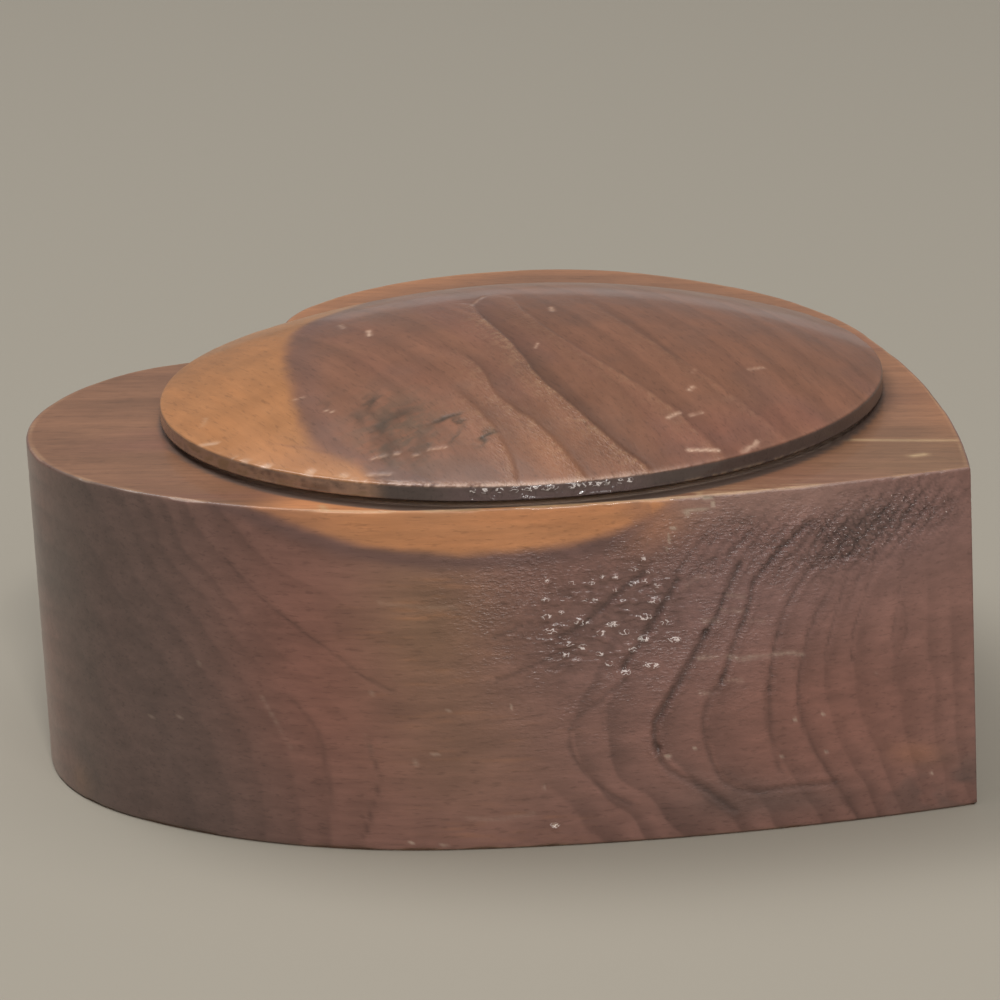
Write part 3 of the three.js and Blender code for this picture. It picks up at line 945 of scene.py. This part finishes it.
def lid_profile(rim_radius, seat, crest, bottom):
    """Pairs of radius and height from under the spigot out to the rim and up to the crest."""
    spigot = rim_radius - LID_LEDGE - SPIGOT_CLEARANCE
    edge_radius, edge_height = rim_radius - LID_RIM_ROUND, seat + LID_UNDERCUT_HEIGHT + LID_RIM_FACE
    inner = rim_radius - LID_UNDERCUT_DEPTH
    points = [(spigot * share, bottom) for share in (0.25, 0.5, 0.75)]
    points += [(spigot - SPIGOT_CHAMFER, bottom), (spigot, bottom + SPIGOT_CHAMFER), (spigot, seat)]
    points += [(inner, seat), (inner + 0.5 * LID_UNDERCUT_DEPTH, seat + 0.5 * LID_UNDERCUT_HEIGHT)]
    for share in np.linspace(0, 1, LID_RIM_ROWS + 1):
        low = seat + LID_UNDERCUT_HEIGHT
        points.append((rim_radius, low + share * (edge_height - LID_RIM_ROUND - low)))
    for angle in np.radians((30, 60, 90)):
        points.append((edge_radius + LID_RIM_ROUND * math.cos(angle),
                       edge_height + LID_RIM_ROUND * (math.sin(angle) - 1)))
    rise = crest - edge_height
    sphere = (edge_radius ** 2 + rise ** 2) / (2 * rise)
    edge_angle = math.asin(edge_radius / sphere)
    for ring in range(1, LID_DOME_RINGS):
        angle = edge_angle * (1 - ring / LID_DOME_RINGS)
        points.append((sphere * math.sin(angle), crest - sphere * (1 - math.cos(angle))))
    return np.array(points)


def sector_angles(rim_radius):
    """Angles of the mesh's columns, closer together where the photograph shows the rim."""
    angles = []
    start = 0
    for end, spacing in LID_SECTORS:
        count = round(math.radians(end - start) * rim_radius / spacing)
        angles.extend(np.linspace(start, end, count, endpoint=False))
        start = end
    return np.radians(angles)


def profile_ways(profile):
    """Outward direction at each point of a profile, in the plane of radius and height."""
    way = np.gradient(profile, axis=0)
    way = way / np.linalg.norm(way, axis=1)[:, None]
    return np.c_[way[:, 1], -way[:, 0]]


def lid_surface(x, y, radius, height, rim_radius, edge_height, centre):
    look = Surface(np.shape(x), LID_WOOD)
    grain, across = turned(x, y, LID_FIBRE)
    rings = across / 6.5 + 0.9 * patchy(grain / 40, across / 14, 121)
    look.shade(ring_shade(-rings, 0.12))
    patches = patchy(grain / 30, across / 9, 122)
    look.paint(HEART_RED, 0.3 * ramp(0.45, 0.7, patches) * ramp(-44, -20, x))
    look.paint_spots(x, y, ((HEART_RED, (0.5, -12, -40, 14, 6, -10)), (SAPWOOD, (0.22, -36, -24, 5, 9, -30))))
    look.shade(0.96 + 0.08 * patchy(grain / 14, across / 0.8, 123))
    look.paint(HEART_DARK, 0.14 * ramp(0.45, 0.7, patchy(x / 8, y / 8, 124)))
    knot_lid(look, x, y)
    ridge_lid(look, x, y, grain, across)
    sap_lid(look, x, y, grain, across)
    for half_width, strength, places in LID_SCRATCHES:
        line = hump(distance_to(x, y, places), half_width)
        look.paint(SCRATCH, strength * line)
        look.depth += 0.08 * line
    look.rough += 0.3 + 0.15 * patchy(x / 7, y / 7, 125)
    rim_lid(look, x, y, radius, height, rim_radius, edge_height, centre)
    look.depth += 0.04 * (patchy(x / 12, y / 12, 126) - 0.5)
    return look


def knot_lid(look, x, y):
    ragged = 2.2 * (patchy(x / 1.4, y / 1.4, 131) - 0.5)
    mottled = ramp(0.35, 0.62, patchy(x / 2.2, y / 1.6, 132, 4))
    look.paint(KNOT_GREY, 0.75 * mottled * spot(x, y, -42, -4, 10, 6, 50))
    look.paint(HEART_DARK, 0.35 * spot(x, y, -47, -16, 9, 4, -55))
    for place_x, place_y, half_length, half_height, turn, strength in LID_KNOTS:
        dark = spot(x + ragged, y - ragged, place_x, place_y, half_length, half_height, turn)
        look.paint(KNOT, strength * dark)
        look.depth += 0.12 * strength * dark


def ridge_lid(look, x, y, grain, across):
    """Steps where the softer wood wore down beside each hard growth line."""
    wobble = 0.6 * (patchy(grain / 5, across / 5, 141) - 0.5)
    painted_glint_flecks = ramp(0.46, 0.66, patchy(x / 0.7, y / 0.7, 142))
    for height, places in LID_RIDGES:
        line = curve_through(places, 1)
        level = np.interp(y, line[:, 1], line[:, 0])
        gap = (x - level) * 0.86 + wobble
        start, end = line[0, 1], line[-1, 1]
        reach = between(start - 6, start + 2, end - 8, end + 5, y)
        step = ramp(-0.2, 0.45, gap) * np.exp(-np.clip(gap, 0, None) / 2.8)
        look.cut(0.7, 0.75, height * reach * step)
        # The high side is worn pale, with pale flecks as painted sparkle
        worn_and_glinting = ramp(0.15, -0.15, gap) * np.exp(np.clip(gap, None, 0) / 2.2) * reach
        look.paint(WORN_WOOD, (0.18 + 0.9 * painted_glint_flecks) * height * worn_and_glinting)
        look.crackle += 1.6 * height * worn_and_glinting


def sap_lid(look, x, y, grain, across):
    height = side_of(x, y, LID_SAPWOOD_EDGE)
    height = height + 1.2 * (patchy(x / 3, y / 3, 151, 4) - 0.5)
    share = ramp(-0.8, 1.6, height)
    tone = mix(LID_SAPWOOD, OLIVE_WOOD, 0.35 * patchy(grain / 20, across / 2.5, 152))
    tone = tone * (0.94 + 0.1 * patchy(x / 5, y / 5, 153))[..., None]
    look.paint(SAP_EDGE, 0.3 * hump(height + 2, 2))
    share = share * (1 - 0.55 * spot(x, y, -48, -1, 3.4, 7, 20))
    look.paint(tone, share)


def rim_lid(look, x, y, radius, height, rim_radius, edge_height, centre):
    """The rim is dark with old varnish and crumbled pale along its upper edge; its beads and some flecks on
    the edge carry painted glints, and its undercut is painted pale as painted light.
    """
    turn = np.degrees(np.arctan2(y - centre[1], x - centre[0])) % 360
    low_rim = ramp(edge_height - 0.1, edge_height - 0.5, height)
    low_rim = low_rim * ramp(0.5, 0.85, radius / rim_radius)
    sap_side = between(95, 120, 194, 198, turn)
    look.paint(RIM_DARK, 0.95 * low_rim)
    look.paint(RIM_MAUVE, low_rim * between(203, 209, 233, 241, turn))
    mottled = patchy(turn / 3, height / 1.5, 163)
    look.paint(mix(RIM_BROWN, OLIVE_WOOD, ramp(0.4, 0.65, mottled)), 0.85 * low_rim * sap_side)
    look.shade(1 - 0.25 * low_rim * sap_side * ramp(0.5, 0.3, mottled))
    on_dome = ramp(edge_height - 0.5, edge_height - 0.1, height)
    arris = hump(np.clip(rim_radius - radius - 0.25, 0, None), 0.5) * on_dome
    nibbled = cloudy(turn * 1.3, radius * 1.5, height, 161, 3)
    front = between(195.5, 198.5, 218, 256, turn)
    # Pale flecks along the edge away from the front: painted glints
    painted_glint_flecks = 0.6 * ramp(0.6, 0.7, nibbled) * between(150, 165, 195, 200, turn)
    worn_and_glinting = arris * (ramp(0.2, 0.45, nibbled) * (0.06 + 0.94 * front) + painted_glint_flecks)
    look.paint(CRUMB_AND_GLINT_PALE, 0.85 * worn_and_glinting)
    foot = hump(height - edge_height + LID_RIM_FACE, 0.25) * between(236, 248, 262, 272, turn)
    look.paint(WORN_WOOD, 0.5 * low_rim * foot * ramp(0.4, 0.6, nibbled))
    look.depth += 0.16 * arris * ramp(0.4, 0.7, nibbled) * (0.3 + 0.7 * front)
    look.crackle += 0.6 * arris * front
    around = turn * math.radians(rim_radius)
    # Beads raised on the rim, each with a painted glint
    for angle, half_length in RIM_BEADS:
        place = math.radians(angle) * rim_radius
        hollow = spot(around, height, place, edge_height - 0.9, half_length + 0.8, 0.8)
        bead = spot(around, height, place, edge_height - 0.8, half_length, 0.42)
        glint = spot(around, height, place, edge_height - 0.8, half_length + 0.2, 0.45)
        look.depth += low_rim * (0.14 * hollow - 0.26 * bead)
        look.bead = np.maximum(look.bead, low_rim * glint)
    # Painted light: the undercut under the rim is painted pale, so that the gap beneath the rim reads lighter
    look.paint(PAINTED_GAP_LIGHT, ramp(edge_height - LID_RIM_FACE, edge_height - LID_RIM_FACE - 0.3, height)
               * ramp(0.7, 0.85, radius / rim_radius))
    look.crackle = look.crackle * (1 - low_rim)
    look.rough -= 0.35 * low_rim * ramp(265, 240, turn)
    look.blister += low_rim * between(207, 210, 232, 238, turn)


def make_lid():
    low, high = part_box(LID)
    body_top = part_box(BODY)[1].z / MM
    centre, rim_radius = lid_circle()
    edge_height = body_top + LID_UNDERCUT_HEIGHT + LID_RIM_FACE
    profile = lid_profile(rim_radius, body_top, high.z / MM, low.z / MM)
    ways = profile_ways(profile)
    angles = sector_angles(rim_radius)
    radius = np.repeat(profile[:, :1], len(angles), axis=1)
    height = np.repeat(profile[:, 1:], len(angles), axis=1)
    x = centre[0] + radius * np.cos(angles)
    y = centre[1] + radius * np.sin(angles)
    out = np.stack([ways[:, :1] * np.cos(angles), ways[:, :1] * np.sin(angles),
                    np.repeat(ways[:, 1:], len(angles), axis=1)], axis=-1)
    look = lid_surface(x, y, radius, height, rim_radius, edge_height, centre)
    shown = ramp(body_top + 0.9, body_top + 1.2, height)
    relief = np.clip(look.depth + LID_SKIN, 0, LID_DEEPEST) * shown
    corners = np.stack([x, y, height], axis=-1) - out * relief[..., None]
    crest = corners[-1].mean(0)
    crest[2] = corners[-1][:, 2].max()
    poles = np.array([[*centre, low.z / MM], crest])
    look.rough[height < body_top + 0.9] += 0.4
    return make_piece("turned_lid", corners, poles, look)


# Materials


class Shader:
    """The nodes of one material, which feed its Principled shader."""

    def __init__(self, name):
        self.material = bpy.data.materials.new(name)
        self.material.use_nodes = True
        self.nodes = self.material.node_tree.nodes

    def feed(self, socket, value):
        """Links a socket to another one, or gives it a number."""
        if isinstance(value, bpy.types.NodeSocket):
            self.material.node_tree.links.new(value, socket)
        else:
            socket.default_value = value

    def add(self, kind, *values, **inputs):
        """First output of a new node, whose inputs are given in their order or by name."""
        node = self.nodes.new("ShaderNode" + kind)
        for socket, value in zip(node.inputs, values):
            self.feed(socket, value)
        for name, value in inputs.items():
            self.feed(node.inputs[name], value)
        return node.outputs[0]

    def calculate(self, kind, operation, *values):
        result = self.add(kind, *values)
        result.node.operation = operation
        return result

    def times(self, first, second):
        return self.calculate("Math", "MULTIPLY", first, second)

    def remap(self, value, low, high, new_low, new_high):
        return self.add("MapRange", value, low, high, new_low, new_high)

    def noise(self, places, stretch, detail, roughness):
        """Noise over places that are first scaled for each axis."""
        places = self.add("Mapping", Vector=places, Scale=stretch)
        return self.add("TexNoise", Vector=places, Scale=1.0, Detail=detail, Roughness=roughness)

    def field(self, name, output="Fac"):
        """What the mesh says at each corner."""
        node = self.nodes.new("ShaderNodeAttribute")
        node.attribute_name = "wood_" + name
        return node.outputs[output]

    def scaled(self, vector, factor):
        result = self.calculate("VectorMath", "SCALE", vector)
        self.feed(result.node.inputs["Scale"], factor)
        return result

    def finish(self, **inputs):
        for name, value in inputs.items():
            self.feed(self.nodes["Principled BSDF"].inputs[name.replace("_", " ")], value)
        return self.material


def varnished_wood(name, fibre, grain, gloss, coat):
    """Grain along the fibres, pores, cloudy varnish, fine crazing and white painted glints over the mesh's
    own colours.
    """
    wood = Shader(name)
    places = wood.nodes.new("ShaderNodeTexCoord").outputs["Object"]
    along_grain = wood.add("Mapping", Vector=places, Rotation=(0.0, 0.0, -math.radians(fibre)))
    fibres = wood.noise(along_grain, (70.0, 900.0, 900.0), 5.0, 0.65)
    pores = wood.noise(along_grain, (420.0, 2600.0, 2600.0), 2.0, 0.5)
    flakes = wood.noise(along_grain, (1300.0, 2900.0, 2900.0), 2.0, 0.55)
    blisters = wood.noise(along_grain, (420.0, 1050.0, 1050.0), 1.0, 0.45)
    loops = wood.noise(places, (1400.0, 1400.0, 2300.0), 1.0, 0.5)
    clouds = wood.add("TexNoise", Vector=places, Scale=110.0, Detail=4.0, Roughness=0.6)

    pore_shade = wood.remap(pores, 0.30, 0.42, 0.80, 1.0)
    shade = wood.times(wood.remap(fibres, 0.3, 0.7, 1.0 - grain, 1.0 + grain), pore_shade)
    shade = wood.times(shade, wood.remap(clouds, 0.3, 0.7, 0.94, 1.06))
    # Painted glints: white loops of noise added to the base colour where the mesh marks them
    from_line = wood.calculate("Math", "ABSOLUTE", wood.calculate("Math", "SUBTRACT", loops, 0.5))
    on_bead = wood.remap(wood.field("bead"), 0.38, 0.62, 0.0, 1.0)
    glint = wood.times(wood.remap(from_line, 0.015, 0.065, 1.0, 0.0), on_bead)
    coloured = wood.scaled(wood.field("tone", "Color"), shade)
    coloured = wood.add("VectorMath", coloured, wood.scaled(GLINT_WHITE, glint))

    cloud_rough = wood.remap(clouds, 0.3, 0.7, gloss - 0.04, gloss + 0.06)
    roughness = wood.calculate("Math", "ADD", cloud_rough, wood.times(wood.field("rough"), 0.5))
    relief = 0.0
    for layer, strength in (
        (fibres, 0.14),
        (wood.remap(flakes, 0.42, 0.70, 0.0, 1.0), wood.field("crackle")),
        (pore_shade, 0.10),
        (flakes, 0.12),
        (wood.remap(blisters, 0.50, 0.78, 0.0, 1.3), wood.field("blister")),
    ):
        relief = wood.calculate("Math", "ADD", relief, wood.times(layer, strength))
    bump = wood.add("Bump", Strength=0.8, Distance=0.00015, Height=relief)
    return wood.finish(Base_Color=coloured, Roughness=roughness, Coat_Weight=coat, Coat_Roughness=0.10,
                       Specular_IOR_Level=0.4, Normal=bump)


# Floor, lights and camera


def make_floor():
    reach = 3.0
    mesh = bpy.data.meshes.new("floor")
    corners = [(-reach, -reach, 0.0), (reach, -reach, 0.0), (reach, reach, 0.0), (-reach, reach, 0.0)]
    mesh.from_pydata(corners, [], [(0, 1, 2, 3)])
    floor = bpy.data.objects.new("floor", mesh)
    bpy.context.scene.collection.objects.link(floor)
    mesh.materials.append(Shader("pale_floor").finish(Base_Color=(*linear(FLOOR_GREY), 1.0), Roughness=0.9))


def area_light(name, place, aim, width, depth, power, colour=(1.0, 1.0, 1.0)):
    light = bpy.data.lights.new(name, "AREA")
    light.shape = "RECTANGLE"
    light.size = width
    light.size_y = depth
    light.energy = power
    light.color = colour
    lamp = bpy.data.objects.new(name, light)
    lamp.location = place
    lamp.rotation_euler = (Vector(aim) - Vector(place)).to_track_quat("-Z", "Y").to_euler()
    bpy.context.scene.collection.objects.link(lamp)


def make_lights():
    middle = (0.0, 0.0, 0.03)
    area_light("ceiling", (0.0, 0.0, 2.0), middle, 2.0, 2.0, 16.0)
    area_light("back_window", (-0.08, 0.82, 1.45), middle, 0.8, 0.8, 11.5)
    area_light("window", (-1.0, -1.25, 1.15), middle, 1.1, 0.9, 9.7, (1.0, 0.99, 0.97))
    area_light("front_lamp", (-0.64, -0.60, 0.66), middle, 0.09, 0.10, 3.5, (1.0, 0.98, 0.95))
    area_light("back_strip", (0.97, 0.68, 0.07), (0.0, 0.0, 0.05), 0.42, 0.12, 0.07)
    world = bpy.data.worlds.new("studio")
    world.use_nodes = True
    background = world.node_tree.nodes["Background"]
    background.inputs["Color"].default_value = (0.46, 0.46, 0.46, 1.0)
    background.inputs["Strength"].default_value = 0.33
    bpy.context.scene.world = world


def make_camera():
    forward = Vector(CAMERA_FORWARD).normalized()
    right = forward.cross(Vector(CAMERA_UP)).normalized()
    up = right.cross(forward)
    camera = bpy.data.cameras.new("camera")
    camera.lens = LENS_MM
    camera.sensor_width = SENSOR_MM
    camera.clip_start = 0.05
    holder = bpy.data.objects.new("camera", camera)
    rotation = Matrix((right, up, -forward)).transposed().to_4x4()
    holder.matrix_world = Matrix.Translation(Vector(CAMERA_PLACE)) @ rotation
    bpy.context.scene.collection.objects.link(holder)
    bpy.context.scene.camera = holder


def dress(piece, node, material):
    piece.data.materials.append(material)
    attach(piece, "root")
    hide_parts(node)


make_camera()
make_floor()
make_lights()
bpy.context.scene.view_settings.view_transform = "Standard"
dress(make_block(), BODY, varnished_wood("heart_block_wood", BLOCK_FIBRE, 0.135, 0.15, 0.40))
dress(make_lid(), LID, varnished_wood("lid_wood", LID_FIBRE, 0.09, 0.15, 0.25))
